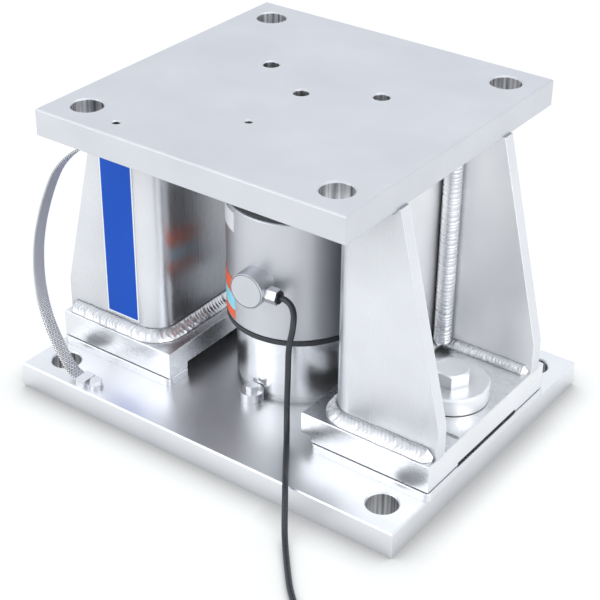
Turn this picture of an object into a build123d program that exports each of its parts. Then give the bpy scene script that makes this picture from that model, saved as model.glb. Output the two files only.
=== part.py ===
from build123d import *
import math
import os

os.makedirs("parts", exist_ok=True)

# Weighing module: base plate, rocker column load cell, top plate and two welded guards.
# The origin is the centre of the base plate's underside. X runs along the long side.

# Base plate
base_length = 330.0
base_width = 250.0
base_thickness = 20.0
base_hole_margin = 23.0
corner_hole = 22.0
edge_break = 1.0

# Load axis, measured from the centre of the base plate
stack_x = 3.0
stack_y = -6.3

# Top plate
clear_height = 202.0
top_length = 248.0
top_width = 250.0
top_thickness = 19.0
top_hole_margin_x = 23.5
top_hole_margin_y = 24.5
centre_hole = 10.8
centre_hole_x = -0.7
centre_hole_y = 1.7
side_hole = 11.4
side_hole_x = 46.3
side_hole_y = 28.7

# Feet and pads, measured outward from the load axis
foot_inner = 59.0
foot_length = 103.0
foot_half_width = 77.0
foot_thickness = 16.0
foot_gap = 0.5
leg_height = 5.0
leg_width = 20.0
leg_end_width = 38.0
leg_end_length = 26.0
end_relief = 2.0
leg_inset = {"left": 0.0, "right": 8.5}
pad_height = 6.5
pad_proud = 1.5
pad_corner = 4.0
groove_length = 13.0
groove_width = 3.4
groove_depth = 2.5
groove_y = -38.0
groove_end = 1.5

# Brackets
bracket_inner = 75.0
bracket_half_width = 68.5
bracket_wall = 10.0
bend_radius = 17.0
flange_step = 24.0
flange_top = 125.5
knee_radius = 14.0
foot_weld = 8.5
floor_weld = 6.0
top_weld = 5.0
corner_weld_gap = 0.2
weld_stop = 2.0

# Hold-down bolts
bolt_x = 129.0
bolt_shift_y = 3.0
bolt_diameter = 16.0
bolt_flats = 24.0
bolt_head = 10.0
bolt_engagement = 17.0
washer_diameter = 54.0
washer_thickness = 12.5
washer_chamfer = 1.2
sleeve_diameter = 24.0
bore_clearance = 0.5
foot_float = 4.0
washer_gap = 0.5

# Load cell and receivers
cell_radius = 52.0
cell_edge = 1.5
pin_radius = 22.0
pin_crown = 60.0
receiver_radius = 45.0
receiver_foot_radius = 43.0
receiver_foot = 4.0
receiver_height = 52.3
receiver_floor = 30.0
cup_clearance = 4.0
seal_thickness = 3.7
seal_inner = 26.0
upper_seal_thickness = 1.7
upper_seal_setback = 2.0

# Cable housing on the load cell
cell_turn = 3.0
housing_radius = 13.2
housing_reach = 66.3
housing_drop = 3.0
cap_thickness = 2.4
cap_edge = 0.5
cell_bore = 10.0
cell_bore_depth = 30.0

# Cable gland, measured along the housing from the load axis, and outward from the housing's axis
gland_reach = 58.3
gland_drop = 1.3
gland_flats = 10.3
gland_inner = 13.2
gland_outer = 22.0
gland_shank = 3.6
gland_root = 3.0
gland_turn = 30.0
bush_radius = 4.7
bush_proud = 0.9

# Anti-rotation screws
stop_x = -3.0
stop_y = -52.0
upper_stop_x = -0.5
upper_stop_y = -56.0
stop_collar_radius = 8.6
stop_collar_height = 7.5
stop_notch = 0.5
stop_screw = 5.0
stop_clearance = 0.4
stop_flats = 8.0
stop_head = 4.0
stop_bite = 10.0

# Ground strap
strap_inset = 10.1
strap_top_inset = 16.4
strap_width = 11.0
strap_thickness = 2.0
strap_grip = 6.0
lug_thickness = 1.6
lug_radius = 5.5
lug_neck = 8.0
lug_reach = 6.4
lug_barrel = 8.5
lug_barrel_height = 4.4
lug_barrel_width = 13.4
lug_clearance = 0.3
strap_top_x = -67.6
strap_base_x = -103.0
strap_screw = 5.0
strap_flats = 8.0
strap_head_height = 3.5
strap_washer = 1.0
strap_washer_radius = 5.0
strap_bite = 9.0

# Labels
label_length = 152.0
label_width = 30.5
label_thickness = 0.4
label_edge = 94.0
label_foot = 58.6
band_thickness = 0.3
band_start = 174.0
band_end = 246.5
lower_band = (78.5, 110.5)
upper_band = (149.0, 164.0)

# Cable, its coil put away beside the base, and the sleeve on its end
cable = 4.3
coil_x = 236.0
coil_y = -259.0
coil_middle = 52.0
coil_columns = 4
coil_layers = 7
tie_thickness = 0.8
tie_width = 6.0
tie_clearance = 0.3
tie_angles = (125.0, 305.0)
tail_angle = 35.0
tail_length = 24.0
tail_diameter = 5.6
tail_clearance = 0.2

# Derived levels and places
base_hole_pitch_x = base_length - 2 * base_hole_margin
base_hole_pitch_y = base_width - 2 * base_hole_margin
top_hole_pitch_x = top_length - 2 * top_hole_margin_x
top_hole_pitch_y = top_width - 2 * top_hole_margin_y
# The strap lands on both plates, so it keeps its inset from whichever front edge lies nearer
strap_y = max(strap_inset - base_width / 2 - stack_y, strap_top_inset - top_width / 2)
top_under = base_thickness + clear_height
foot_outer = foot_inner + foot_length
pad_top = base_thickness + pad_height
leg_bottom = pad_top + foot_gap
foot_bottom = leg_bottom + leg_height
foot_top = foot_bottom + foot_thickness
washer_bottom = foot_top + washer_gap
washer_top = washer_bottom + washer_thickness
foot_hole = sleeve_diameter + 2 * foot_float
receiver_top = base_thickness + receiver_height
cell_bottom = receiver_top + seal_thickness
cell_top = top_under - receiver_height - upper_seal_thickness
housing_z = (cell_bottom + cell_top) / 2 - housing_drop
inner_web = bracket_inner + bracket_wall
inner_width = bracket_half_width - bracket_wall
inner_radius = bend_radius - bracket_wall
cup_radius = pin_radius + cup_clearance
cup_floor = base_thickness + receiver_floor
cap_floor = top_under - receiver_floor
crown_rise = pin_crown - math.sqrt(pin_crown**2 - pin_radius**2)
crown_angle = math.degrees(math.asin(pin_radius / pin_crown))
load_axis = Axis((stack_x, stack_y, 0), (0, 0, 1))
mirror_plane = Plane.YZ.offset(stack_x)
axis_section = Plane((stack_x, stack_y, 0), x_dir=(1, 0, 0), z_dir=(0, -1, 0))
sides = {"left": -1, "right": 1}


def place(x, y, z=0.0):
    """A point given from the load axis, in the part's own frame."""
    return (stack_x + x, stack_y + y, z)


def finish(piece, label):
    """Name a finished piece and write it."""
    piece.part.label = label
    export_step(piece.part, f"parts/{label}.step")


# Base plate, with through holes at the corners and tapped holes for the screws
with BuildPart() as base_plate:
    with BuildSketch():
        Rectangle(base_length, base_width)
        with GridLocations(base_hole_pitch_x, base_hole_pitch_y, 2, 2):
            Circle(corner_hole / 2, mode=Mode.SUBTRACT)
    extrude(amount=base_thickness)
    chamfer(base_plate.edges().group_by(Axis.Z)[-1], edge_break)
    with Locations(*[place(s * bolt_x, bolt_shift_y, base_thickness) for s in sides.values()]):
        Hole(bolt_diameter / 2, depth=bolt_engagement)
    with Locations(place(stop_x, stop_y, base_thickness)):
        Hole(stop_screw / 2, depth=stop_bite)
    with Locations(place(strap_base_x, strap_y, base_thickness)):
        Hole(strap_screw / 2, depth=strap_bite)
finish(base_plate, "base_plate")

# Top plate, centred on the load axis
with BuildPart() as top_plate:
    with BuildSketch(Plane.XY.offset(top_under)):
        with Locations(place(0, 0)):
            Rectangle(top_length, top_width)
            with GridLocations(top_hole_pitch_x, top_hole_pitch_y, 2, 2):
                Circle(corner_hole / 2, mode=Mode.SUBTRACT)
        with Locations(place(centre_hole_x, centre_hole_y)):
            Circle(centre_hole / 2, mode=Mode.SUBTRACT)
        with Locations(place(side_hole_x, side_hole_y), place(-side_hole_x, side_hole_y)):
            Circle(side_hole / 2, mode=Mode.SUBTRACT)
        with Locations(place(upper_stop_x, upper_stop_y)):
            Circle(stop_screw / 2, mode=Mode.SUBTRACT)
        with Locations(place(strap_top_x, strap_y)):
            Circle(strap_screw / 2, mode=Mode.SUBTRACT)
    extrude(amount=top_thickness)
    chamfer(top_plate.edges().group_by(Axis.Z)[-1], edge_break)
finish(top_plate, "top_plate")

# Foot plates: legs along the front and rear edges, broader at the outer end
for side, s in sides.items():
    leg_inner = foot_inner + leg_inset[side]
    leg_length = foot_outer - leg_inner
    with BuildPart() as foot:
        with BuildSketch(Plane.XY.offset(foot_bottom)):
            with Locations(place(s * (foot_inner + foot_outer) / 2, 0)):
                Rectangle(foot_length, 2 * foot_half_width)
        extrude(amount=foot_thickness)
        with BuildSketch(Plane.XY.offset(leg_bottom)):
            for edge in (-1, 1):
                leg_y = edge * (foot_half_width - leg_width / 2)
                with Locations(place(s * (leg_inner + foot_outer) / 2, leg_y)):
                    Rectangle(leg_length, leg_width)
                with Locations(
                    place(s * (foot_outer - leg_end_length / 2), edge * (foot_half_width - leg_end_width / 2))
                ):
                    Rectangle(leg_end_length, leg_end_width)
        extrude(amount=leg_height)
        with BuildSketch(Plane.XY.offset(foot_bottom)):
            with Locations(place(s * (foot_outer - leg_end_length / 2), 0)):
                Rectangle(leg_end_length, 2 * foot_half_width)
        extrude(amount=end_relief - leg_height)
        chamfer(foot.edges().group_by(Axis.Z)[-1], edge_break / 2)
        with Locations(place(s * bolt_x, 0, foot_top)):
            Hole(foot_hole / 2)
        with BuildSketch(Plane.XY.offset(foot_top)):
            with Locations(place(s * (foot_outer - groove_end - groove_length / 2), groove_y)):
                SlotOverall(groove_length, groove_width)
        extrude(amount=-groove_depth, mode=Mode.SUBTRACT)
    finish(foot, f"foot_{side}")

    # Raised pad on the base plate, open towards the load cell
    with BuildPart() as pad:
        with BuildSketch(Plane.XY.offset(base_thickness)):
            pad_outer = foot_outer + pad_proud
            with Locations(place(s * (leg_inner + pad_outer) / 2, 0)):
                RectangleRounded(pad_outer - leg_inner, 2 * (foot_half_width + pad_proud), pad_corner)
            window_outer = foot_outer - leg_end_length
            window = foot_half_width - leg_width
            with Locations(place(s * (foot_inner + window_outer) / 2, 0)):
                Rectangle(window_outer - foot_inner, 2 * window, mode=Mode.SUBTRACT)
            with Locations(place(s * bolt_x, bolt_shift_y)):
                Circle(sleeve_diameter / 2 + bore_clearance, mode=Mode.SUBTRACT)
        extrude(amount=pad_height)
        chamfer(pad.edges().group_by(Axis.Z)[-1], edge_break / 2)
    finish(pad, f"pad_{side}")

# Bracket: a bent U of plate whose flanges taper towards the top
with BuildPart() as bracket_right:
    with BuildSketch(Plane.XY.offset(foot_top)):
        middle = bracket_half_width - bracket_wall / 2
        web_middle = bracket_inner + bracket_wall / 2
        with BuildLine():
            FilletPolyline(
                place(foot_outer, -middle),
                place(web_middle, -middle),
                place(web_middle, middle),
                place(foot_outer, middle),
                radius=bend_radius - bracket_wall / 2,
            )
        trace(line_width=bracket_wall)
    extrude(amount=clear_height + base_thickness - foot_top)
    with BuildSketch(axis_section) as side_view:
        with BuildLine():
            Polyline(
                (bracket_inner, foot_top),
                (foot_outer, foot_top),
                (foot_outer, foot_top + flange_step),
                (flange_top, top_under),
                (bracket_inner, top_under),
                close=True,
            )
        make_face()
        fillet(side_view.vertices().group_by(Axis.X)[-1].sort_by(Axis.Y)[-1], knee_radius)
    extrude(amount=base_width, both=True, mode=Mode.INTERSECT)
finish(bracket_right, "bracket_right")

with BuildPart() as bracket_left:
    add(mirror(bracket_right.part, about=mirror_plane))
finish(bracket_left, "bracket_left")


def bead(run, radius, outward, normal, leg):
    """A fillet weld along a run of points: its section stands outward and up (or down) from the run."""
    with BuildPart() as piece:
        with BuildLine() as seam:
            FilletPolyline(*run, radius=radius)
        with BuildSketch(Plane(run[0], x_dir=outward, z_dir=normal)):
            with BuildLine():
                Line((0, 0), (leg, 0))
                ThreePointArc((leg, 0), (0.62 * leg, 0.62 * leg), (0, leg))
                Line((0, leg), (0, 0))
            make_face()
        sweep(path=seam.wire())
    return piece


def around(web, half_width, level, outer):
    """The run round the web of the right bracket, from one free end to the other."""
    return (
        place(outer, -half_width, level),
        place(web, -half_width, level),
        place(web, half_width, level),
        place(outer, half_width, level),
    )


# Weld beads: outside and inside at the foot, up the inner corners, and under the top plate
foot_run = around(bracket_inner, bracket_half_width, foot_top, foot_outer - weld_stop)
floor_run = around(inner_web, inner_width, foot_top, foot_outer - weld_stop)
top_run = around(bracket_inner, bracket_half_width, top_under, flange_top - weld_stop)
with BuildPart() as corner_weld:
    with BuildSketch(Plane.XY.offset(foot_top + floor_weld)):
        for edge in (-1, 1):
            with Locations(place(inner_web + inner_radius, edge * (inner_width - inner_radius))):
                Circle(inner_radius - corner_weld_gap)
    extrude(amount=clear_height + base_thickness - foot_top - floor_weld)
welds = {
    "foot_weld": bead(foot_run, bend_radius, (0, -1, 0), (-1, 0, 0), foot_weld),
    "floor_weld": bead(floor_run, inner_radius, (0, 1, 0), (1, 0, 0), floor_weld),
    "top_weld": bead(top_run, bend_radius, (0, -1, 0), (1, 0, 0), top_weld),
    "corner_weld": corner_weld,
}
for label, weld in welds.items():
    finish(weld, f"{label}_right")
    with BuildPart() as left_weld:
        add(mirror(weld.part, about=mirror_plane))
    finish(left_weld, f"{label}_left")

# Hold-down bolts, each clamping its washer on a sleeve that stands on the base plate
for side, s in sides.items():
    centre = place(s * bolt_x, bolt_shift_y)
    with BuildPart() as bolt:
        with BuildSketch(Plane.XY.offset(washer_top)):
            with Locations(centre):
                RegularPolygon(bolt_flats / 2, 6, major_radius=False)
        extrude(amount=bolt_head)
        with BuildSketch(Plane(centre, x_dir=(1, 0, 0), z_dir=(0, -1, 0))):
            crown = 0.47 * bolt_flats
            corner = 0.6 * bolt_flats
            head_top = washer_top + bolt_head
            with BuildLine():
                Polyline(
                    (0, washer_top),
                    (corner, washer_top),
                    (corner, head_top - (corner - crown) / 2),
                    (crown, head_top),
                    (0, head_top),
                    close=True,
                )
            make_face()
        revolve(axis=Axis(centre, (0, 0, 1)), mode=Mode.INTERSECT)
        with BuildSketch(Plane.XY.offset(base_thickness - bolt_engagement)):
            with Locations(centre):
                Circle(bolt_diameter / 2)
        extrude(amount=washer_top - base_thickness + bolt_engagement)
    finish(bolt, f"hold_down_bolt_{side}")

    with BuildPart() as washer:
        with BuildSketch(Plane.XY.offset(washer_bottom)):
            with Locations(centre):
                Circle(washer_diameter / 2)
                Circle(bolt_diameter / 2 + bore_clearance, mode=Mode.SUBTRACT)
        extrude(amount=washer_thickness)
        chamfer(washer.edges().group_by(Axis.Z)[-1].sort_by(SortBy.LENGTH)[-1], washer_chamfer)
    finish(washer, f"washer_{side}")

    with BuildPart() as sleeve:
        with BuildSketch(Plane.XY.offset(base_thickness)):
            with Locations(centre):
                Circle(sleeve_diameter / 2)
                Circle(bolt_diameter / 2 + bore_clearance, mode=Mode.SUBTRACT)
        extrude(amount=washer_bottom - base_thickness)
    finish(sleeve, f"distance_sleeve_{side}")

# Receivers: cups for the rocker's crowned ends
with BuildPart() as receiver:
    with BuildSketch(axis_section):
        with BuildLine():
            Polyline(
                (0, base_thickness),
                (receiver_foot_radius, base_thickness),
                (receiver_foot_radius, base_thickness + receiver_foot),
                (receiver_radius, base_thickness + receiver_foot),
                (receiver_radius, receiver_top),
                (cup_radius, receiver_top),
                (cup_radius, cup_floor),
                (0, cup_floor),
                close=True,
            )
        make_face()
    revolve(axis=load_axis)

with BuildPart() as lower_receiver:
    add(receiver.part)
    with BuildSketch(Plane.XY.offset(base_thickness)):
        with Locations(place(stop_x, stop_y)):
            Circle(stop_collar_radius + stop_notch)
    extrude(amount=stop_collar_height + stop_head + stop_notch, mode=Mode.SUBTRACT)
finish(lower_receiver, "lower_receiver")

with BuildPart() as upper_receiver:
    add(mirror(receiver.part, about=Plane.XY.offset((base_thickness + top_under) / 2)))
    with Locations(place(centre_hole_x, centre_hole_y, top_under)):
        Hole(centre_hole / 2, depth=receiver_floor / 2)
finish(upper_receiver, "upper_receiver")

# Load cell: a sealed can on a rocker pin with crowned ends, with a cable housing on its front
turn = math.radians(cell_turn)
facing = Vector(math.sin(turn), -math.cos(turn), 0)
sideways = Vector(math.cos(turn), math.sin(turn), 0)
housing_axis = Vector(*place(0, 0, housing_z))
housing_plane = Plane(housing_axis, x_dir=sideways, z_dir=facing)
gland_axis = housing_axis + facing * gland_reach - Vector(0, 0, gland_drop)
gland_plane = Plane(gland_axis, x_dir=(0, 0, 1), z_dir=sideways)
with BuildPart() as load_cell:
    with BuildSketch(axis_section) as cell_section:
        with BuildLine():
            CenterArc((0, cup_floor + pin_crown), pin_crown, -90, crown_angle)
            Polyline(
                (pin_radius, cup_floor + crown_rise),
                (pin_radius, cell_bottom),
                (cell_radius, cell_bottom),
                (cell_radius, cell_top),
                (pin_radius, cell_top),
                (pin_radius, cap_floor - crown_rise),
            )
            CenterArc((0, cap_floor - pin_crown), pin_crown, 90 - crown_angle, crown_angle)
            Line((0, cap_floor), (0, cup_floor))
        make_face()
        fillet(cell_section.vertices().group_by(Axis.X)[-1], cell_edge)
    revolve(axis=load_axis)
    with BuildSketch(housing_plane):
        Circle(housing_radius)
    extrude(amount=housing_reach - cap_thickness)
    with BuildSketch(housing_plane.offset(housing_reach - cap_thickness)):
        Circle(cell_bore)
    extrude(amount=-cell_bore_depth, mode=Mode.SUBTRACT)
    with BuildSketch(gland_plane):
        Circle(gland_shank)
    extrude(amount=gland_inner, mode=Mode.SUBTRACT)
finish(load_cell, "load_cell")

with BuildPart() as housing_cap:
    with BuildSketch(housing_plane.offset(housing_reach - cap_thickness)):
        Circle(housing_radius)
    extrude(amount=cap_thickness)
    chamfer(housing_cap.edges().sort_by(Axis.Y)[0], cap_edge)
finish(housing_cap, "housing_cap")

# Cable gland on the side of the housing, and the rubber bush in its mouth
with BuildPart() as cable_gland:
    with BuildSketch(gland_plane.offset(gland_inner)):
        RegularPolygon(gland_flats / 2, 6, major_radius=False, rotation=gland_turn)
    extrude(amount=gland_outer - gland_inner)
    with BuildSketch(gland_plane.offset(gland_inner)):
        Circle(gland_shank)
    extrude(amount=-gland_root)
    with BuildSketch(gland_plane.offset(gland_outer)):
        Circle(cable / 2)
    extrude(amount=gland_inner - gland_outer - gland_root, mode=Mode.SUBTRACT)
finish(cable_gland, "cable_gland")

with BuildPart() as cable_bush:
    with BuildSketch(gland_plane.offset(gland_outer)):
        Circle(bush_radius)
        Circle(cable / 2, mode=Mode.SUBTRACT)
    extrude(amount=bush_proud)
finish(cable_bush, "cable_bush")

# Seal rings between the can and the receivers
seals = {
    "lower_seal": (receiver_top, seal_thickness, cell_radius),
    "upper_seal": (cell_top, upper_seal_thickness, cell_radius - upper_seal_setback),
}
for label, (level, thickness, outer) in seals.items():
    with BuildPart() as seal:
        with BuildSketch(Plane.XY.offset(level)):
            with Locations(place(0, 0)):
                Circle(outer)
                Circle(seal_inner, mode=Mode.SUBTRACT)
        extrude(amount=thickness)
    finish(seal, label)

# Anti-rotation screws in their collars: one on the base plate, one under the top plate
stops = {
    "lower": (place(stop_x, stop_y, base_thickness), 1),
    "upper": (place(upper_stop_x, upper_stop_y, top_under), -1),
}
for name, (seat, up) in stops.items():
    seat_plane = Plane(seat, x_dir=(1, 0, 0), z_dir=(0, 0, up))
    with BuildPart() as collar:
        with BuildSketch(seat_plane):
            Circle(stop_collar_radius)
            Circle(stop_screw / 2 + stop_clearance, mode=Mode.SUBTRACT)
        extrude(amount=stop_collar_height)
    finish(collar, f"stop_collar_{name}")

    with BuildPart() as stop:
        with BuildSketch(seat_plane.offset(stop_collar_height)):
            RegularPolygon(stop_flats / 2, 6, major_radius=False)
        extrude(amount=stop_head)
        with BuildSketch(seat_plane.offset(stop_collar_height)):
            Circle(stop_screw / 2)
        extrude(amount=-stop_collar_height - stop_bite)
    finish(stop, f"stop_screw_{name}")


def corner_radii(points):
    """The largest arc that each corner of a route has room for."""
    radii = []
    for before, corner, after in zip(points, points[1:], points[2:]):
        arriving = Vector(*corner) - Vector(*before)
        leaving = Vector(*after) - Vector(*corner)
        half_turn = math.radians(arriving.get_angle(leaving) / 2)
        radii.append(0.45 * min(arriving.length, leaving.length) / math.tan(half_turn))
    return radii


# Ground strap: a flat braid between two crimped lugs, each under a screw and a washer
strap_run = (
    (-112.0, 22.2),
    (-120.5, 22.2),
    (-128.0, 27.6),
    (-134.5, 36.6),
    (-140.6, 47.4),
    (-147.6, 62.4),
    (-151.9, 82.8),
    (-152.2, 107.0),
    (-148.3, 132.4),
    (-139.0, 160.4),
    (-128.2, 184.0),
    (-119.6, 196.5),
    (-109.0, 207.0),
    (-97.0, 215.6),
    (-85.0, 219.8),
    (-76.6, 219.8),
)
with BuildPart() as ground_strap:
    with BuildSketch(Plane(place(0, strap_y), x_dir=(1, 0, 0), z_dir=(0, -1, 0))):
        with BuildLine():
            FilletPolyline(*strap_run, radius=corner_radii(strap_run))
        trace(line_width=strap_thickness)
    extrude(amount=strap_width / 2, both=True)
finish(ground_strap, "ground_strap")

lugs = {
    "lower": (place(strap_base_x, strap_y, base_thickness), 1),
    "upper": (place(strap_top_x, strap_y, top_under), -1),
}
for name, (seat, up) in lugs.items():
    seat_plane = Plane(seat, x_dir=(-1, 0, 0), z_dir=(0, 0, up))
    slot_width = strap_width + 2 * lug_clearance
    slot_height = strap_thickness + 2 * lug_clearance
    with BuildPart() as lug:
        with BuildSketch(seat_plane):
            Circle(lug_radius)
            Rectangle(lug_reach + lug_barrel, lug_neck, align=(Align.MIN, Align.CENTER))
            Circle(strap_screw / 2 + lug_clearance, mode=Mode.SUBTRACT)
        extrude(amount=lug_thickness)
        with BuildSketch(seat_plane):
            with Locations((lug_reach + lug_barrel / 2, 0)):
                RectangleRounded(lug_barrel, lug_barrel_width, 1)
        extrude(amount=lug_barrel_height)
        with BuildSketch(seat_plane.offset((lug_barrel_height - slot_height) / 2)):
            with Locations((lug_reach + lug_barrel, 0)):
                Rectangle(2 * (strap_grip + lug_clearance), slot_width)
        extrude(amount=slot_height, mode=Mode.SUBTRACT)
    finish(lug, f"strap_lug_{name}")

    with BuildPart() as washer:
        with BuildSketch(seat_plane.offset(lug_thickness)):
            Circle(strap_washer_radius)
            Circle(strap_screw / 2 + lug_clearance, mode=Mode.SUBTRACT)
        extrude(amount=strap_washer)
    finish(washer, f"strap_washer_{name}")

    with BuildPart() as screw:
        with BuildSketch(seat_plane.offset(lug_thickness + strap_washer)):
            RegularPolygon(strap_flats / 2, 6, major_radius=False)
        extrude(amount=strap_head_height)
        with BuildSketch(seat_plane.offset(lug_thickness + strap_washer)):
            Circle(strap_screw / 2)
        extrude(amount=-lug_thickness - strap_washer - strap_bite)
    finish(screw, f"strap_screw_{name}")

# Label on the front flange of the left bracket, and two round the load cell
label_plane = Plane(place(-label_edge, -bracket_half_width, label_foot), x_dir=(1, 0, 0), z_dir=(0, -1, 0))
with BuildPart() as side_label:
    with BuildSketch(label_plane):
        Rectangle(label_width, label_length, align=(Align.MAX, Align.MIN))
    extrude(amount=label_thickness)
finish(side_label, "side_label")

for name, (bottom, top) in {"lower": lower_band, "upper": upper_band}.items():
    with BuildPart() as band:
        with BuildSketch(axis_section):
            with Locations((cell_radius, bottom)):
                Rectangle(band_thickness, top - bottom, align=(Align.MIN, Align.MIN))
        revolve(axis=load_axis, revolution_arc=band_end - band_start)
    with BuildPart() as cell_label:
        add(band.part.rotate(load_axis, band_start))
    finish(cell_label, f"cell_label_{name}")

# Cable: out of its gland, down in front of the receiver, over the base plate and to its coil
cable_run = (
    (26.0, -57.0, 117.7),
    (29.1, -56.9, 117.8),
    (32.3, -57.2, 117.3),
    (35.5, -58.1, 116.3),
    (38.4, -59.6, 114.8),
    (41.2, -61.9, 112.4),
    (43.4, -65.2, 108.6),
    (44.4, -67.9, 103.0),
    (43.2, -69.3, 94.6),
    (41.5, -68.4, 84.0),
    (40.8, -67.6, 72.0),
    (40.4, -67.6, 56.0),
    (40.6, -68.6, 42.0),
    (43.6, -72.6, 30.5),
    (50.5, -82.0, 23.6),
    (59.5, -94.8, 22.4),
    (68.5, -107.4, 22.5),
    (77.0, -119.2, 24.6),
    (84.5, -129.4, 21.8),
    (90.0, -137.2, 13.0),
    (95.6, -144.8, 5.4),
    (104.5, -155.6, 2.6),
    (116.5, -169.6, 2.3),
    (129.5, -184.4, 2.3),
    (145.8, -198.0, 2.3),
    (163.0, -213.2, 2.3),
    (176.6, -228.7, 2.3),
    (187.2, -243.2, 2.3),
    (196.1, -256.6, 2.3),
)
tube_route = [place(*point) for point in cable_run]
tube_radii = corner_radii(tube_route)
with BuildPart() as cable_tube:
    with BuildLine() as tube_line:
        FilletPolyline(*tube_route, radius=tube_radii)
    with BuildSketch(Plane(tube_line.line @ 0, z_dir=tube_line.line % 0)):
        Circle(cable / 2)
    sweep(path=tube_line.wire())
finish(cable_tube, "cable")
print("cable radii", [round(radius, 1) for radius in tube_radii])
print("cable length", round(tube_line.wire().length, 1))
print("cable volume", cable_tube.part.volume / (math.pi * cable**2 / 4 * tube_line.wire().length))

coil_inner = coil_middle / 2 - coil_columns * cable / 2
coil_outer = coil_middle / 2 + coil_columns * cable / 2
coil_top = tie_thickness + coil_layers * cable
coil_plane = Plane((coil_x, coil_y, tie_thickness))
with BuildPart() as cable_coil:
    with BuildSketch(coil_plane):
        Circle(coil_outer)
        Circle(coil_inner, mode=Mode.SUBTRACT)
    extrude(amount=coil_top - tie_thickness)
finish(cable_coil, "cable_coil")

for number, angle in enumerate(tie_angles, start=1):
    with BuildPart() as tie:
        outward = Vector(1, 0, 0).rotate(Axis.Z, angle)
        with BuildSketch(Plane((coil_x, coil_y, 0), x_dir=outward, z_dir=outward.rotate(Axis.Z, -90))):
            with Locations((coil_middle / 2, (coil_top + tie_thickness) / 2)):
                width = coil_outer - coil_inner + 2 * tie_clearance
                height = coil_top - tie_thickness
                Rectangle(width + 2 * tie_thickness, height + 2 * tie_thickness)
                Rectangle(width, height, mode=Mode.SUBTRACT)
        extrude(amount=tie_width / 2, both=True)
    finish(tie, f"coil_tie_{number}")

tail_turn = math.radians(tail_angle)
tail_middle = Vector(
    coil_x + coil_middle / 2 * math.cos(tail_turn),
    coil_y + coil_middle / 2 * math.sin(tail_turn),
    coil_top + tail_diameter / 2 + tail_clearance,
)
with BuildPart() as cable_tail:
    with BuildSketch(Plane(tail_middle, z_dir=(-math.sin(tail_turn), math.cos(tail_turn), 0))):
        Circle(tail_diameter / 2)
    extrude(amount=tail_length / 2, both=True)
finish(cable_tail, "cable_tail")
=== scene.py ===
import math
import random
import bpy
import bmesh
from mathutils import Matrix, Vector


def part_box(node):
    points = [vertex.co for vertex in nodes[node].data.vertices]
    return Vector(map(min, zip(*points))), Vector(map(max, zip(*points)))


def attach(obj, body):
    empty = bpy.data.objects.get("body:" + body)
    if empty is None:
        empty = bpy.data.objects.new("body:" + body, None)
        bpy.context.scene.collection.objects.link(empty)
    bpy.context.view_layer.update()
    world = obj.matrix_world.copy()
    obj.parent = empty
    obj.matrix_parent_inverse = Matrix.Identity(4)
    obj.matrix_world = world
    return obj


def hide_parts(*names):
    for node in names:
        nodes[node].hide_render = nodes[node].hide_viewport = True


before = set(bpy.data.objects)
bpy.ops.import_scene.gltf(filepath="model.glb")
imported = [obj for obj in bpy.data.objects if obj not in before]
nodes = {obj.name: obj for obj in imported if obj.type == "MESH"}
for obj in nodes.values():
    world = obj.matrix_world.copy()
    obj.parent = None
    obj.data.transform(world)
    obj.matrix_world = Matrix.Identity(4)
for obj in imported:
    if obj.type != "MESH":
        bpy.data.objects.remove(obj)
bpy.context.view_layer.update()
MM = 0.001

# Places and sizes that the frame shares with the source
STACK = Vector((3.0, -6.3, 0.0)) * MM
TOP_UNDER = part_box("top_plate")[0][2]
FOOT_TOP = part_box("foot_right")[1][2]
FOOT_OUTER = 162.0 * MM
BRACKET_INNER = 75.0 * MM
BRACKET_HALF = 68.5 * MM
BRACKET_WALL = 10.0 * MM
BEND = 17.0 * MM
FLANGE_TOP = 125.5 * MM
WELD_STOP = 2.0 * MM
CABLE = 4.3 * MM
GRAIN_DEPTH = 0.0002
NOISE_LOW = 0.3
NOISE_HIGH = 0.7


# Materials
def shader(name, color, metallic=0.0, roughness=0.5):
    """A new material, its node tree and its main shader."""
    material = bpy.data.materials.new(name)
    material.use_nodes = True
    tree = material.node_tree
    main = tree.nodes["Principled BSDF"]
    main.inputs["Base Color"].default_value = (*color, 1.0)
    main.inputs["Metallic"].default_value = metallic
    main.inputs["Roughness"].default_value = roughness
    return material, tree, main


def coordinates(tree, scale=(1.0, 1.0, 1.0)):
    """Object coordinates, stretched along each axis."""
    source = tree.nodes.new("ShaderNodeTexCoord")
    mapping = tree.nodes.new("ShaderNodeMapping")
    mapping.inputs["Scale"].default_value = scale
    tree.links.new(source.outputs["Object"], mapping.inputs["Vector"])
    return mapping.outputs["Vector"]


def noise(tree, vector, scale, detail=3.0, roughness=0.5):
    """A noise texture's value."""
    texture = tree.nodes.new("ShaderNodeTexNoise")
    texture.inputs["Scale"].default_value = scale
    texture.inputs["Detail"].default_value = detail
    texture.inputs["Roughness"].default_value = roughness
    tree.links.new(vector, texture.inputs["Vector"])
    return texture.outputs["Fac"]


def remap(tree, value, low, high, start=NOISE_LOW, end=NOISE_HIGH):
    """A value spread from one range to another."""
    node = tree.nodes.new("ShaderNodeMapRange")
    node.inputs["From Min"].default_value = start
    node.inputs["From Max"].default_value = end
    node.inputs["To Min"].default_value = low
    node.inputs["To Max"].default_value = high
    tree.links.new(value, node.inputs["Value"])
    return node.outputs["Result"]


def tint(tree, value, dark, light):
    """A colour between two, by a value."""
    ramp = tree.nodes.new("ShaderNodeValToRGB")
    ramp.color_ramp.elements[0].position = NOISE_LOW
    ramp.color_ramp.elements[0].color = (*dark, 1.0)
    ramp.color_ramp.elements[1].position = NOISE_HIGH
    ramp.color_ramp.elements[1].color = (*light, 1.0)
    tree.links.new(value, ramp.inputs["Fac"])
    return ramp.outputs["Color"]


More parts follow.
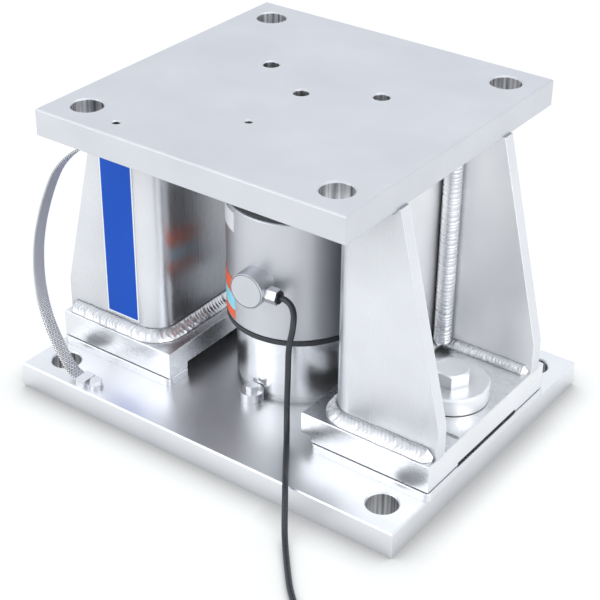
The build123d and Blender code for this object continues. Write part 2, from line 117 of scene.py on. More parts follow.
def bump(tree, main, height, strength, distance, edge=0.0):
    """Surface relief, over edges that are softened by a small radius."""
    relief = tree.nodes.new("ShaderNodeBump")
    relief.inputs["Strength"].default_value = strength
    relief.inputs["Distance"].default_value = distance
    tree.links.new(height, relief.inputs["Height"])
    if edge:
        soft = tree.nodes.new("ShaderNodeBevel")
        soft.samples = 4
        soft.inputs["Radius"].default_value = edge
        tree.links.new(soft.outputs["Normal"], relief.inputs["Normal"])
    tree.links.new(relief.outputs["Normal"], main.inputs["Normal"])


def painted_shade(tree, color, depth, reach):
    """A colour with painted shade: darker in recesses and close to other pieces."""
    recess = tree.nodes.new("ShaderNodeAmbientOcclusion")
    recess.samples = 6
    recess.inputs["Distance"].default_value = reach
    shade_factor = remap(tree, recess.outputs["AO"], 1.0 - depth, 1.0, 0.25, 0.95)
    mix = tree.nodes.new("ShaderNodeMix")
    mix.data_type = "RGBA"
    mix.blend_type = "MULTIPLY"
    mix.inputs["Factor"].default_value = 1.0
    tree.links.new(color, mix.inputs["A"])
    tree.links.new(shade_factor, mix.inputs["B"])
    return mix.outputs["Result"]


def brushed(name, dark, light, rough, grain, strength, edge=0.0006, depth=0.0, reach=0.05):
    """Steel with a grain that is stretched along one direction, faint cloudy wear, and painted shade in
    recesses where depth is given.
    """
    material, tree, main = shader(name, light, 1.0, sum(rough) / 2)
    fine = noise(tree, coordinates(tree, grain), 1.0, 4.0, 0.6)
    cloud = noise(tree, coordinates(tree), 22.0, 2.0)
    color = tint(tree, cloud, dark, light)
    if depth:
        # Painted shade: darker in recesses and close to other pieces, by up to depth, within reach
        color = painted_shade(tree, color, depth, reach)
    tree.links.new(color, main.inputs["Base Color"])
    tree.links.new(remap(tree, fine, rough[0], rough[1]), main.inputs["Roughness"])
    bump(tree, main, fine, strength, GRAIN_DEPTH, edge)
    return material


def moulded(name, dark, light, roughness, scale, strength):
    """Rubber or plastic with a fine grain and uneven gloss."""
    material, tree, main = shader(name, light, 0.0, roughness)
    grain = noise(tree, coordinates(tree), scale, 4.0, 0.6)
    tree.links.new(tint(tree, grain, dark, light), main.inputs["Base Color"])
    tree.links.new(remap(tree, grain, roughness - 0.06, roughness + 0.08), main.inputs["Roughness"])
    bump(tree, main, grain, strength, GRAIN_DEPTH)
    return material


def banded(name, axis, levels):
    """A printed film: plain colours in bands along one axis of the part."""
    material, tree, main = shader(name, levels[0][1], 0.0, 0.45)
    main.inputs["Specular IOR Level"].default_value = 0.2
    split = tree.nodes.new("ShaderNodeSeparateXYZ")
    tree.links.new(coordinates(tree), split.inputs["Vector"])
    ramp = tree.nodes.new("ShaderNodeValToRGB")
    ramp.color_ramp.interpolation = "CONSTANT"
    start = levels[0][0]
    span = levels[-1][0] - start
    while len(ramp.color_ramp.elements) < len(levels):
        ramp.color_ramp.elements.new(0.5)
    for element, (level, color) in zip(ramp.color_ramp.elements, levels):
        element.position = (level - start) / span
        element.color = (*color, 1.0)
    along = remap(tree, split.outputs[axis], 0.0, 1.0, start, start + span)
    tree.links.new(along, ramp.inputs["Fac"])
    tree.links.new(ramp.outputs["Color"], main.inputs["Base Color"])
    grain = noise(tree, coordinates(tree), 900.0, 2.0)
    bump(tree, main, grain, 0.06, 0.0001)
    return material


def within(tree, limits):
    """1 where every coordinate named is above or below its limit, and 0 elsewhere."""
    split = tree.nodes.new("ShaderNodeSeparateXYZ")
    tree.links.new(coordinates(tree), split.inputs["Vector"])
    value = None
    for axis, side, limit in limits:
        test = tree.nodes.new("ShaderNodeMath")
        test.operation = "GREATER_THAN" if side == "above" else "LESS_THAN"
        test.inputs[1].default_value = limit
        tree.links.new(split.outputs[axis], test.inputs[0])
        value = product(tree, value, test.outputs[0]) if value else test.outputs[0]
    return value


def product(tree, first, second):
    """Two values multiplied."""
    node = tree.nodes.new("ShaderNodeMath")
    node.operation = "MULTIPLY"
    tree.links.new(first, node.inputs[0])
    tree.links.new(second, node.inputs[1])
    return node.outputs[0]


def overlay(tree, main, mask, color=None, source=None):
    """A second base colour, fixed or from a socket, where the mask is 1."""
    mix = tree.nodes.new("ShaderNodeMix")
    mix.data_type = "RGBA"
    tree.links.new(mask, mix.inputs["Factor"])
    tree.links.new(main.inputs["Base Color"].links[0].from_socket, mix.inputs["A"])
    if source:
        tree.links.new(source, mix.inputs["B"])
    else:
        mix.inputs["B"].default_value = (*color, 1.0)
    tree.links.new(mix.outputs["Result"], main.inputs["Base Color"])


def hole_walls(material, node, margin):
    """Drilled walls: light and dark streaks painted on a plate's upright faces, inside its outline, as
    painted reflections.
    """
    tree = material.node_tree
    main = tree.nodes["Principled BSDF"]
    low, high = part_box(node)
    inside = within(
        tree,
        [
            ("X", "above", low[0] + margin),
            ("X", "below", high[0] - margin),
            ("Y", "above", low[1] + margin),
            ("Y", "below", high[1] - margin),
        ],
    )
    shape = tree.nodes.new("ShaderNodeNewGeometry")
    split = tree.nodes.new("ShaderNodeSeparateXYZ")
    tree.links.new(shape.outputs["True Normal"], split.inputs["Vector"])
    size = tree.nodes.new("ShaderNodeMath")
    size.operation = "ABSOLUTE"
    tree.links.new(split.outputs["Z"], size.inputs[0])
    upright = remap(tree, size.outputs[0], 1.0, 0.0, 0.2, 0.6)
    # Painted reflection: streaks that stand in for the streaked reflections in drilled walls
    streak = noise(tree, coordinates(tree, (420, 420, 12)), 1.0, 1.0, 0.4)
    painted_reflection_streaks = tint(tree, streak, (0.20, 0.21, 0.23), (0.97, 0.97, 0.98))
    overlay(tree, main, product(tree, inside, upright), source=painted_reflection_streaks)


satin_top = brushed(
    "satin_top",
    dark=(0.65, 0.665, 0.695),
    light=(0.7, 0.715, 0.745),
    rough=(0.36, 0.44),
    grain=(60, 900, 60),
    strength=0.04,
)
# Painted shade: strong and far-reaching, in recesses and towards nearby pieces such as the can
satin_upright = brushed(
    "satin_upright",
    dark=(0.77, 0.785, 0.815),
    light=(0.82, 0.835, 0.865),
    rough=(0.26, 0.31),
    grain=(500, 500, 9),
    strength=0.006,
    depth=0.7,
    reach=0.08,
)
# Painted shade close to other pieces
ground_foot = brushed(
    "ground_foot",
    dark=(0.84, 0.85, 0.87),
    light=(0.89, 0.9, 0.92),
    rough=(0.26, 0.31),
    grain=(60, 400, 400),
    strength=0.005,
    depth=0.12,
    reach=0.03,
)
# Painted shade close to the feet and other pieces
polished_base = brushed(
    "polished_base",
    dark=(0.84, 0.855, 0.88),
    light=(0.89, 0.905, 0.93),
    rough=(0.36, 0.42),
    grain=(45, 900, 60),
    strength=0.012,
    depth=0.12,
    reach=0.03,
)
# Painted shade close to other pieces
turned_mirror = brushed(
    "turned_mirror",
    dark=(0.88, 0.89, 0.91),
    light=(0.93, 0.94, 0.95),
    rough=(0.22, 0.28),
    grain=(8, 8, 1500),
    strength=0.16,
    depth=0.25,
    reach=0.03,
)
blasted = brushed(
    "blasted_can",
    dark=(0.61, 0.62, 0.65),
    light=(0.65, 0.66, 0.69),
    rough=(0.42, 0.48),
    grain=(900, 900, 900),
    strength=0.06,
)
cap_face = brushed(
    "cap_face",
    dark=(0.62, 0.635, 0.67),
    light=(0.67, 0.685, 0.715),
    rough=(0.36, 0.44),
    grain=(700, 700, 700),
    strength=0.04,
    edge=0.0003,
)
bright_steel = brushed(
    "bright_steel",
    dark=(0.68, 0.69, 0.72),
    light=(0.78, 0.79, 0.81),
    rough=(0.26, 0.34),
    grain=(300, 300, 300),
    strength=0.04,
    edge=0.0004,
)
# Painted shade in recesses close by
satin_fastener = brushed(
    "satin_fastener",
    dark=(0.86, 0.87, 0.89),
    light=(0.92, 0.93, 0.94),
    rough=(0.32, 0.4),
    grain=(300, 300, 300),
    strength=0.04,
    depth=0.25,
    reach=0.008,
)
# Painted shade in the ripple valleys and where the bead meets the plates
weld_metal = brushed(
    "weld_metal",
    dark=(0.64, 0.65, 0.68),
    light=(0.84, 0.85, 0.87),
    rough=(0.24, 0.36),
    grain=(420, 420, 420),
    strength=0.25,
    edge=0.0,
    depth=0.45,
    reach=0.004,
)
braid_wire = brushed(
    "braid_wire",
    dark=(0.93, 0.935, 0.94),
    light=(0.98, 0.98, 0.98),
    rough=(0.34, 0.48),
    grain=(700, 700, 700),
    strength=0.15,
    edge=0.0,
)


def rim_line(material, node, axis, inner, outer, color):
    """A fine turned line round a flat face, between two radii from its axis."""
    tree = material.node_tree
    main = tree.nodes["Principled BSDF"]
    low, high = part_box(node)
    source = tree.nodes.new("ShaderNodeTexCoord")
    offset = tree.nodes.new("ShaderNodeVectorMath")
    offset.operation = "SUBTRACT"
    offset.inputs[1].default_value = [(a + b) / 2 for a, b in zip(low, high)]
    cross = tree.nodes.new("ShaderNodeVectorMath")
    cross.operation = "CROSS_PRODUCT"
    cross.inputs[1].default_value = axis
    reach = tree.nodes.new("ShaderNodeVectorMath")
    reach.operation = "LENGTH"
    tree.links.new(source.outputs["Object"], offset.inputs[0])
    tree.links.new(offset.outputs["Vector"], cross.inputs[0])
    tree.links.new(cross.outputs["Vector"], reach.inputs[0])
    blur = 0.15 * MM
    near = remap(tree, reach.outputs["Value"], 0.0, 1.0, inner - blur, inner + blur)
    far = remap(tree, reach.outputs["Value"], 1.0, 0.0, outer - blur, outer + blur)
    overlay(tree, main, product(tree, near, far), color=color)


CELL_TURN = math.radians(3.0)
CAP_LINE_INNER = 12.0 * MM
CAP_LINE_OUTER = 12.6 * MM
CAP_LINE_COLOR = (0.16, 0.17, 0.19)
rim_line(
    cap_face,
    "housing_cap",
    (math.sin(CELL_TURN), -math.cos(CELL_TURN), 0.0),
    CAP_LINE_INNER,
    CAP_LINE_OUTER,
    CAP_LINE_COLOR,
)
seal_rubber = moulded("seal_rubber", (0.030, 0.034, 0.040), (0.050, 0.055, 0.062), 0.55, 500.0, 0.10)
bush_rubber = moulded("bush_rubber", (0.014, 0.015, 0.017), (0.024, 0.026, 0.030), 0.36, 500.0, 0.08)
sheath = moulded("sheath", (0.018, 0.022, 0.028), (0.032, 0.038, 0.046), 0.36, 380.0, 0.06)
tie_plastic = moulded("tie_plastic", (0.015, 0.015, 0.015), (0.030, 0.030, 0.030), 0.45, 400.0, 0.08)
side_low, side_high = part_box("side_label")
EDGE = 1.1 * MM
LABEL_BLUE = (0.004, 0.078, 0.48)
LABEL_EDGE = (0.82, 0.86, 0.9)
label_film = banded("label_film", "Z", [(side_low[2], LABEL_BLUE), (side_high[2], LABEL_BLUE)])
for axis, index in (("X", 0), ("Z", 2)):
    for side, limit in (("below", side_low[index] + EDGE), ("above", side_high[index] - EDGE)):
        tree = label_film.node_tree
        overlay(tree, tree.nodes["Principled BSDF"], within(tree, [(axis, side, limit)]), color=LABEL_EDGE)
ORANGE = (0.90, 0.16, 0.07)
CYAN = (0.32, 0.75, 0.88)
CYAN_LOW = 0.0860
CYAN_HIGH = 0.0980
band_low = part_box("cell_label_lower")
band_film = banded(
    "band_film",
    "Z",
    [(band_low[0][2], ORANGE), (CYAN_LOW, CYAN), (CYAN_HIGH, ORANGE), (band_low[1][2], ORANGE)],
)
white_film = moulded("white_film", (0.78, 0.80, 0.82), (0.84, 0.86, 0.88), 0.4, 700.0, 0.04)

FINISHES = {
    "top_plate": satin_top,
    "base_plate": polished_base,
    "bracket": satin_upright,
    "foot_left": ground_foot,
    "foot_right": ground_foot,
    "pad": ground_foot,
    "load_cell": blasted,
    "housing_cap": cap_face,
    "lower_receiver": turned_mirror,
    "upper_receiver": turned_mirror,
    "lower_seal": seal_rubber,
    "upper_seal": seal_rubber,
    "cable_bush": bush_rubber,
    "cable_gland": satin_top,
    "hold_down_bolt": satin_fastener,
    "washer": satin_fastener,
    "cable_tail": tie_plastic,
    "coil_tie": tie_plastic,
    "side_label": label_film,
    "cell_label_lower": band_film,
    "cell_label_upper": white_film,
}

# The faces inside each bracket: painted light, a lighter colour standing in for the light that falls
# inside them; also duller and a little patchy
ZONE_MARGIN = 0.5 * MM
INNER_REACH = BRACKET_INNER + BRACKET_WALL - ZONE_MARGIN
INNER_SIDE = BRACKET_HALF - BRACKET_WALL + ZONE_MARGIN
INNER_PAINTED_LIGHT_LOW = (0.90, 0.905, 0.92)
INNER_PAINTED_LIGHT_HIGH = (0.985, 0.985, 0.985)
INNER_ROUGHNESS = 0.46
for hand, side, reach in (("left", "below", -INNER_REACH), ("right", "above", INNER_REACH)):
    inside = satin_upright.copy()
    inside.name = f"painted_light_inside_{hand}"
    tree = inside.node_tree
    main = tree.nodes["Principled BSDF"]
    painted_light_zone = within(
        tree,
        [
            ("X", side, STACK.x + reach),
            ("Y", "below", STACK.y + INNER_SIDE),
            ("Y", "above", STACK.y - INNER_SIDE),
        ],
    )
    cloud = noise(tree, coordinates(tree, (9, 9, 5)), 2.4, 2.0)
    # Painted light: the lighter, patchy colour of the bracket's inside
    painted_light_patches = tint(tree, cloud, INNER_PAINTED_LIGHT_LOW, INNER_PAINTED_LIGHT_HIGH)
    overlay(tree, main, painted_light_zone, source=painted_light_patches)
    dull = tree.nodes.new("ShaderNodeMix")
    dull.inputs["B"].default_value = INNER_ROUGHNESS
    tree.links.new(painted_light_zone, dull.inputs["Factor"])
    tree.links.new(main.inputs["Roughness"].links[0].from_socket, dull.inputs["A"])
    tree.links.new(dull.outputs["Result"], main.inputs["Roughness"])
    FINISHES[f"bracket_{hand}"] = inside

OUTLINE_MARGIN = 3.0 * MM
# Painted reflection streaks on the drilled walls of both plates
hole_walls(satin_top, "top_plate", OUTLINE_MARGIN)
hole_walls(polished_base, "base_plate", OUTLINE_MARGIN)

# Each piece takes the last finish whose name it starts with
for name, piece in nodes.items():
    finish = bright_steel
    for start, material in FINISHES.items():
        if name.startswith(start):
            finish = material
    for slot in piece.material_slots:
        slot.material = finish


# Weld beads
ARC_STEPS = 12
RIPPLE_STEPS = 7
PROFILE_STEPS = 10
CORNER_SIDES = 28
CORNER_STEP = 0.4 * MM
CORNER_PITCH = 3.0 * MM
CORNER_DRAW_STEPS = 8
CORNER_SEED = 11


def rounded_path(points, radius, step):
    """Points along a run in one level whose corners are arcs, evenly spaced."""
    line = []
    for index, point in enumerate(points):
        if index in (0, len(points) - 1):
            line.append(Vector(point))
            continue
        arrive = (Vector(point) - Vector(points[index - 1])).normalized()
        leave = (Vector(points[index + 1]) - Vector(point)).normalized()
        centre = Vector(point) + (leave - arrive) * radius
        for share in range(ARC_STEPS + 1):
            turn = math.pi / 2 * share / ARC_STEPS
            line.append(centre - leave * radius * math.cos(turn) + arrive * radius * math.sin(turn))
    even = [line[0]]
    carry = 0.0
    for start, end in zip(line, line[1:]):
        length = (end - start).length
        place = step - carry
        while place <= length:
            even.append(start + (end - start) * (place / length))
            place += step
        carry = length - (place - step)
    return even


def make_mesh(name, rows, material, mirror=False):
    """A skin over rings of points, with flat ends."""
    mesh = bpy.data.meshes.new(name)
    shape = bmesh.new()
    rings = []
    for row in rows:
        if mirror:
            row = [Vector((2 * STACK.x - p.x, p.y, p.z)) for p in row]
        rings.append([shape.verts.new(p) for p in row])
    count = len(rings[0])
    for before, after in zip(rings, rings[1:]):
        for index in range(count):
            other = (index + 1) % count
            shape.faces.new((before[index], before[other], after[other], after[index]))
    shape.faces.new(rings[0])
    shape.faces.new(rings[-1])
    bmesh.ops.recalc_face_normals(shape, faces=shape.faces)
    shape.to_mesh(mesh)
    shape.free()
    for face in mesh.polygons:
        face.use_smooth = len(face.vertices) < 5
    mesh.materials.append(material)
    piece = bpy.data.objects.new(name, mesh)
    bpy.context.collection.objects.link(piece)
    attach(piece, "root")
    return piece


def coin(place, pitch):
    """The height of one ripple of a weld bead, from 0 in its valley to 1 on its crest."""
    share = (place / pitch) % 1.0
    return math.sin(math.pi * share) ** 0.6


def drift(draws, index, spacing):
    """A random value at one place of a run, blended between the two draws beside it."""
    before, share = divmod(index, spacing)
    return draws[before] * (1 - share / spacing) + draws[before + 1] * share / spacing


def weld_bead(name, node, run, radius, side, up, leg, pitch, depth, seed, mirror):
    """A fillet weld along a run, made of overlapping crescents of molten metal."""
    rolls = random.Random(seed)
    step = pitch / RIPPLE_STEPS
    path = rounded_path(run, radius, step)
    wobble = [rolls.uniform(-1, 1) for _ in range(len(path) // RIPPLE_STEPS + 3)]
    rows = []
    for index, point in enumerate(path):
        ahead = path[min(index + 1, len(path) - 1)] - path[max(index - 1, 0)]
        ahead.normalize()
        outward = Vector((-ahead.y, ahead.x, 0.0)) * side
        place = index * step
        near = drift(wobble, index, RIPPLE_STEPS)
        end = min(1.0, 0.35 + min(place, (len(path) - 1) * step - place) / (0.8 * leg))
        row = [point.copy()]
        for share in range(PROFILE_STEPS + 1):
            angle = math.pi / 2 * share / PROFILE_STEPS
            crescent = 1.1 * pitch * math.sin(2 * angle)
            crest = coin(place + crescent + 0.22 * pitch * near, pitch)
            swell = math.sin(2 * angle)
            reach = leg * end * (1 - 0.13 * swell) * (1 - 0.03 * (near + 1))
            reach -= depth * (1 - crest) * (0.35 + 0.65 * swell) * (0.7 + 0.3 * near)
            across = outward * reach * math.cos(angle)
            rise = Vector((0, 0, up)) * reach * math.sin(angle)
            row.append(point + across + rise)
        rows.append(row)
    piece = make_mesh(name, rows, weld_metal, mirror=mirror)
    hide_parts(node)


def bracket_run(web, half, level, outer):
    """The run round the web of the right bracket, from one free end to the other."""
    corners = ((outer, -half), (web, -half), (web, half), (outer, half))
    return [STACK + Vector((x, y, level)) for x, y in corners]


INNER_WEB = BRACKET_INNER + BRACKET_WALL
INNER_HALF = BRACKET_HALF - BRACKET_WALL
INNER_BEND = BEND - BRACKET_WALL
foot_run = bracket_run(BRACKET_INNER, BRACKET_HALF, FOOT_TOP, FOOT_OUTER - WELD_STOP)
floor_run = bracket_run(INNER_WEB, INNER_HALF, FOOT_TOP, FOOT_OUTER - WELD_STOP)
top_run = bracket_run(BRACKET_INNER, BRACKET_HALF, TOP_UNDER, FLANGE_TOP - WELD_STOP)
# Node, run, bend, side, up or down, leg, pitch and depth of the ripples
BEADS = (
    ("foot", foot_run, BEND, 1, 1, 8.5 * MM, 3.1 * MM, 0.9 * MM),
    ("floor", floor_run, INNER_BEND, -1, 1, 6.0 * MM, 2.6 * MM, 0.60 * MM),
    ("top", top_run, BEND, 1, -1, 5.0 * MM, 2.6 * MM, 0.35 * MM),
)
for place, *form in BEADS:
    for hand, mirror in (("right", False), ("left", True)):
        weld_bead(f"{place}_bead_{hand}", f"{place}_weld_{hand}", *form, len(place) + mirror, mirror)


def corner_beads(hand, mirror):
    """The upright beads in the two inner corners of a bracket, one piece for each corner."""
    radius = INNER_BEND - 0.2 * MM
    low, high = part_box(f"corner_weld_{hand}")
    rolls = random.Random(CORNER_SEED + mirror)
    for end in (-1, 1):
        centre = STACK + Vector((INNER_WEB + INNER_BEND, end * (INNER_HALF - INNER_BEND), 0.0))
        rows = []
        steps = int((high[2] - low[2]) / CORNER_STEP)
        shifts = [rolls.uniform(-1, 1) for _ in range(steps // CORNER_DRAW_STEPS + 3)]
        for index in range(steps + 1):
            level = low[2] + (high[2] - low[2]) * index / steps
            near = drift(shifts, index, CORNER_DRAW_STEPS)
            row = []
            for share in range(CORNER_SIDES):
                angle = 2 * math.pi * share / CORNER_SIDES
                crescent = 1.8 * MM * math.cos(angle + math.pi / 4 * end)
                crest = coin(level + crescent + 0.45 * CORNER_PITCH * near, CORNER_PITCH)
                reach = radius - (0.42 + 0.16 * near) * MM * (1 - crest)
                x = centre.x + reach * math.cos(angle)
                y = centre.y + reach * math.sin(angle)
                row.append(Vector((x, y, level)))
            rows.append(row)
        name = f"corner_bead_{hand}" if end < 0 else f"corner_bead_{hand}_rear"
        make_mesh(name, rows, weld_metal, mirror=mirror)
    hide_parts(f"corner_weld_{hand}")


corner_beads("right", False)
corner_beads("left", True)

# Ground strap: a flat braid of crossing bundles
STRAP_Y = STACK.y - 108.6 * MM
STRAP_WIDTH = 11.0 * MM
STRAP_THICK = 2.0 * MM
BUNDLE = 3.5
BRAID_STEP = 0.36
BRAID_POINTS = 30
BRAID_SLANT = 0.8
strap_route = (
    (-112.0, 22.2),
    (-120.5, 22.2),
    (-128.0, 27.6),
    (-134.5, 36.6),
    (-140.6, 47.4),
    (-147.6, 62.4),
    (-151.9, 82.8),
    (-152.2, 107.0),
    (-148.3, 132.4),
    (-139.0, 160.4),
    (-128.2, 184.0),
    (-119.6, 196.5),
    (-109.0, 207.0),
    (-97.0, 215.6),
    (-85.0, 219.8),
    (-76.6, 219.8),
)


def smooth_curve(name, points, resolution):
    """A smooth curve that has the given points as its control points."""
    curve = bpy.data.curves.new(name, "CURVE")
    curve.dimensions = "3D"
    curve.resolution_u = resolution
    spline = curve.splines.new("NURBS")
    spline.points.add(len(points) - 1)
    for target, point in zip(spline.points, points):
        target.co = (*point, 1.0)
    spline.order_u = 3
    spline.use_endpoint_u = True
    return curve


def smooth_line(points, resolution):
    """Points along such a curve."""
    curve = smooth_curve("guide", points, resolution)
    guide = bpy.data.objects.new("guide", curve)
    bpy.context.collection.objects.link(guide)
    bpy.context.view_layer.update()
    mesh = bpy.data.meshes.new_from_object(guide)
    line = [vertex.co.copy() for vertex in mesh.vertices]
    bpy.data.objects.remove(guide)
    bpy.data.curves.remove(curve)
    bpy.data.meshes.remove(mesh)
    return line


def spaced(line, step):
    """The line again, with its points evenly spaced."""
    total = sum((b - a).length for a, b in zip(line, line[1:]))
    count = round(total / step)
    step = total / count
    even = [line[0]]
    carry = 0.0
    for start, end in zip(line, line[1:]):
        length = (end - start).length
        place = step - carry
        while place <= length and len(even) < count:
            even.append(start + (end - start) * (place / length))
            place += step
        carry = length - (place - step)
    even.append(line[-1])
    return even


def braid():
    """The strap's mesh: its faces rise and fall where bundles cross over and under, and it holds painted
    shade for each point.
    """
    points = [(STACK.x + x * MM, STRAP_Y, z * MM) for x, z in strap_route]
    path = spaced(smooth_line(points, 14), BRAID_STEP * MM)
    rows = []
    painted_shade_tones = []
    for index, point in enumerate(path):
        ahead = (path[min(index + 1, len(path) - 1)] - path[max(index - 1, 0)]).normalized()
        face = Vector((-ahead.z, 0.0, ahead.x))
        row = []
        for side in (1, -1):
            weaves = []
            for share in range(BRAID_POINTS):
                place = (share + 0.5) / BRAID_POINTS - 0.5
                sideways = place * side
                along = index * BRAID_STEP * BRAID_SLANT
                one = math.sin((along + sideways * STRAP_WIDTH / MM) * 2 * math.pi / BUNDLE)
                two = math.sin((along - sideways * STRAP_WIDTH / MM) * 2 * math.pi / BUNDLE)
                weave = max(one, two) if one * two < 0 else abs(one * two)
                edge = (1 - (2 * abs(sideways)) ** 6) ** 0.5
                half = STRAP_THICK / 2 * edge * (0.45 + 0.55 * weave)
                row.append(point + Vector((0, sideways * STRAP_WIDTH, 0)) + face * half * side)
                weaves.append(weave)
            # Painted shade: each point's brightness, dark where the bundles dip between crossings
            painted_shade_tones += [0.10 + 0.90 * min(1.0, (value / 0.72) ** 2) for value in weaves]
        rows.append(row)
    piece = make_mesh("strap_braid", rows, braid_wire)
    layer = piece.data.color_attributes.new("weave", "FLOAT_COLOR", "POINT")
    for spot, tone in zip(layer.data, painted_shade_tones):
        spot.color = (tone, tone, tone, 1.0)
    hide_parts("ground_strap")


def painted_weave_shade():
    """The braid's colour times the painted shade that its mesh holds for each point: dark where the
    bundles dip.
    """
    tree = braid_wire.node_tree
    main = tree.nodes["Principled BSDF"]
    steel = main.inputs["Base Color"].links[0].from_socket
    stored_shade = tree.nodes.new("ShaderNodeVertexColor")
    stored_shade.layer_name = "weave"
    mix = tree.nodes.new("ShaderNodeMix")
    mix.data_type = "RGBA"
    mix.blend_type = "MULTIPLY"
    mix.inputs["Factor"].default_value = 1.0
    tree.links.new(steel, mix.inputs["A"])
    tree.links.new(stored_shade.outputs["Color"], mix.inputs["B"])
    tree.links.new(mix.outputs["Result"], main.inputs["Base Color"])


braid()
painted_weave_shade()

# Cable: the route of the source, then the turns of its coil, then the sleeved end
cable_route = (
    (26.0, -57.0, 117.7),
    (29.1, -56.9, 117.8),
    (32.3, -57.2, 117.3),
    (35.5, -58.1, 116.3),
    (38.4, -59.6, 114.8),
    (41.2, -61.9, 112.4),
    (43.4, -65.2, 108.6),
    (44.4, -67.9, 103.0),
    (43.2, -69.3, 94.6),
    (41.5, -68.4, 84.0),
    (40.8, -67.6, 72.0),
    (40.4, -67.6, 56.0),
    (40.6, -68.6, 42.0),
    (43.6, -72.6, 30.5),
    (50.5, -82.0, 23.6),
    (59.5, -94.8, 22.4),
    (68.5, -107.4, 22.5),
    (77.0, -119.2, 24.6),
    (84.5, -129.4, 21.8),
    (90.0, -137.2, 13.0),
    (95.6, -144.8, 5.4),
    (104.5, -155.6, 2.6),
    (116.5, -169.6, 2.3),
    (129.5, -184.4, 2.3),
    (145.8, -198.0, 2.3),
    (163.0, -213.2, 2.3),
    (176.6, -228.7, 2.3),
    (187.2, -243.2, 2.3),
    (196.1, -256.6, 2.3),
)
COIL_X = 236.0
COIL_Y = -259.0
COIL_MIDDLE = 52.0
COLUMNS = 4
LAYERS = 7
TIE = 0.8
TURN_POINTS = 18
START_ANGLE = 215.0
TAIL_ANGLE = 35.0
TAIL_LENGTH = 24.0
TAIL_DIAMETER = 5.6
TAIL_CLEARANCE = 0.2
# The way up onto the coil: angle, distance from the coil's axis, height above its top
TAIL_RISE = ((-125, 25.2, 1.8), (-100, 25.6, 2.2), (-75, 26.0, 2.3), (-50, 26.6, 2.5), (-25, 27.4, 2.8))
TAIL_SHARES = (-0.62, -0.3, 0.1, 0.42)
CABLE_RESOLUTION = 6


def coil_points():
    """The coil's control points, layer on layer, going in and out from column to column."""
    pitch = CABLE / MM
    order = []
    for layer in range(LAYERS):
        columns = range(COLUMNS - 1, -1, -1) if layer % 2 == 0 else range(COLUMNS)
        for column in columns:
            radius = COIL_MIDDLE / 2 + (column - (COLUMNS - 1) / 2) * pitch
            order.append((radius, TIE + (layer + 0.5) * pitch))
    order.append((COIL_MIDDLE / 2 - 1.0, TIE + LAYERS * pitch + 1.2))
    outside = 2 / (1 + math.cos(math.pi / TURN_POINTS))
    points = []
    for turn, ((radius, level), (after, above)) in enumerate(zip(order, order[1:])):
        for share in range(TURN_POINTS):
            blend = max(0.0, (share / TURN_POINTS - 0.75) / 0.25)
            angle = math.radians(START_ANGLE + 360.0 * share / TURN_POINTS)
            reach = (radius + (after - radius) * blend) * outside
            height = level + (above - level) * blend
            points.append((COIL_X + reach * math.cos(angle), COIL_Y + reach * math.sin(angle), height))
    return points


def tail_points():
    """The last stretch: up on the coil and straight through the sleeve."""
    top = TIE + LAYERS * CABLE / MM
    turn = math.radians(TAIL_ANGLE)
    level = top + TAIL_DIAMETER / 2 + TAIL_CLEARANCE
    middle_x = COIL_X + COIL_MIDDLE / 2 * math.cos(turn)
    middle_y = COIL_Y + COIL_MIDDLE / 2 * math.sin(turn)
    middle = Vector((middle_x, middle_y, level))
    along = Vector((-math.sin(turn), math.cos(turn), 0.0))
    points = []
    for angle, reach, rise in TAIL_RISE:
        radians = math.radians(angle)
        x = COIL_X + reach * math.cos(radians)
        y = COIL_Y + reach * math.sin(radians)
        points.append((x, y, top + rise))
    for share in TAIL_SHARES:
        points.append(tuple(middle + along * TAIL_LENGTH * share))
    return points


def cable_piece():
    """The whole cable as one smooth curve."""
    route = [tuple(Vector(point) * MM + STACK) for point in cable_route]
    route += [tuple(Vector(point) * MM) for point in coil_points() + tail_points()]
    curve = smooth_curve("cable_curve", route, CABLE_RESOLUTION)
    curve.bevel_depth = CABLE / 2
    curve.bevel_resolution = 5
    curve.use_fill_caps = True
    curve.materials.append(sheath)
    piece = bpy.data.objects.new("cable_run", curve)
    bpy.context.collection.objects.link(piece)
    line = smooth_line(route, CABLE_RESOLUTION)
    length = sum((b - a).length for a, b in zip(line, line[1:]))
    print("cable length", round(length, 4))
    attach(piece, "root")
    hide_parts("cable", "cable_coil")


cable_piece()

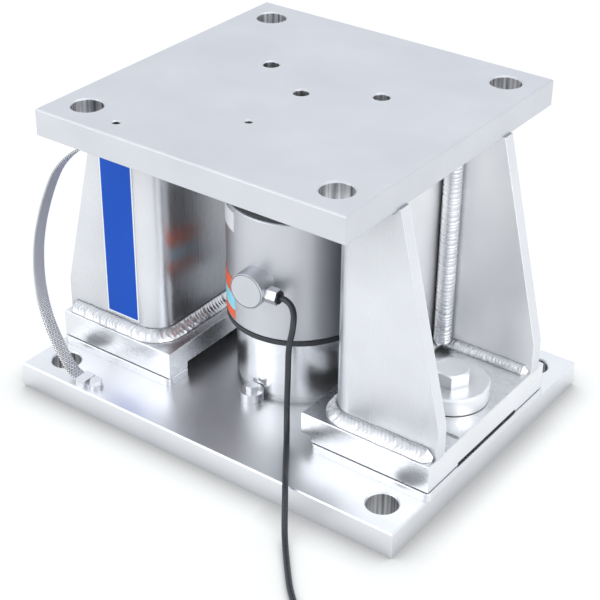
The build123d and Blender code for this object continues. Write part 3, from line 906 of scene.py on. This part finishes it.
# Floor, light and camera
floor_mesh = bpy.data.meshes.new("floor")
HALF_FLOOR = 30.0
floor_corners = [(x * HALF_FLOOR, y * HALF_FLOOR, 0) for x, y in ((-1, -1), (1, -1), (1, 1), (-1, 1))]
floor_mesh.from_pydata(floor_corners, [], [(0, 1, 2, 3)])
floor = bpy.data.objects.new("floor", floor_mesh)
bpy.context.collection.objects.link(floor)
floor_material, floor_tree, floor_main = shader("pale_floor", (0.0, 0.0, 0.0), 0.0, 1.0)
floor_main.inputs["Specular IOR Level"].default_value = 0.0
# Painted contact shadow: the evenly glowing white floor is painted darker close to the object
shadow_occlusion = floor_tree.nodes.new("ShaderNodeAmbientOcclusion")
shadow_occlusion.samples = 12
shadow_occlusion.inputs["Distance"].default_value = 0.028
glow_with_painted_shadow = remap(floor_tree, shadow_occlusion.outputs["AO"], 0.46, 1.04, 0.50, 0.95)
floor_main.inputs["Emission Color"].default_value = (0.965, 0.985, 1.0, 1.0)
floor_tree.links.new(glow_with_painted_shadow, floor_main.inputs["Emission Strength"])
floor_mesh.materials.append(floor_material)

bpy.context.scene.view_settings.view_transform = "Standard"
world = bpy.data.worlds.new("studio")
bpy.context.scene.world = world
world.use_nodes = True
background = world.node_tree.nodes["Background"]
background.inputs["Color"].default_value = (0.93, 0.955, 1.0, 1.0)
background.inputs["Strength"].default_value = 1.0


def softbox(name, place, aim, width, height, power):
    """A large area light at one place, pointing at another."""
    light = bpy.data.lights.new(name, "AREA")
    light.shape = "RECTANGLE"
    light.size = width
    light.size_y = height
    light.energy = power
    lamp = bpy.data.objects.new(name, light)
    lamp.location = place
    lamp.rotation_euler = (Vector(aim) - Vector(place)).to_track_quat("-Z", "Y").to_euler()
    bpy.context.collection.objects.link(lamp)


CENTRE = (0.0, 0.0, 0.12)
softbox("overhead", (0.1, 0.3, 1.8), CENTRE, 1.6, 1.6, 5.0)
softbox("left_box", (-0.8, -1.5, 0.7), CENTRE, 1.0, 1.4, 7.0)
softbox("right_box", (1.3, -0.35, 0.45), CENTRE, 1.0, 0.8, 5.0)

LENS = 91.671
CAMERA_PLACE = Vector((0.559848, -0.772771, 0.655755))
RIGHT = Vector((0.80659461, 0.59104408, 0.00848748))
UP = Vector((-0.31327433, 0.41525933, 0.85406023))
BACK = Vector((0.50126274, -0.69153929, 0.52010487))
camera_data = bpy.data.cameras.new("camera")
camera_data.sensor_width = 36.0
camera_data.lens = LENS
camera_data.clip_start = 0.05
camera = bpy.data.objects.new("camera", camera_data)
turn = Matrix((RIGHT, UP, BACK)).transposed()
camera.matrix_world = Matrix.Translation(CAMERA_PLACE) @ turn.to_4x4()
bpy.context.collection.objects.link(camera)
bpy.context.scene.camera = camera
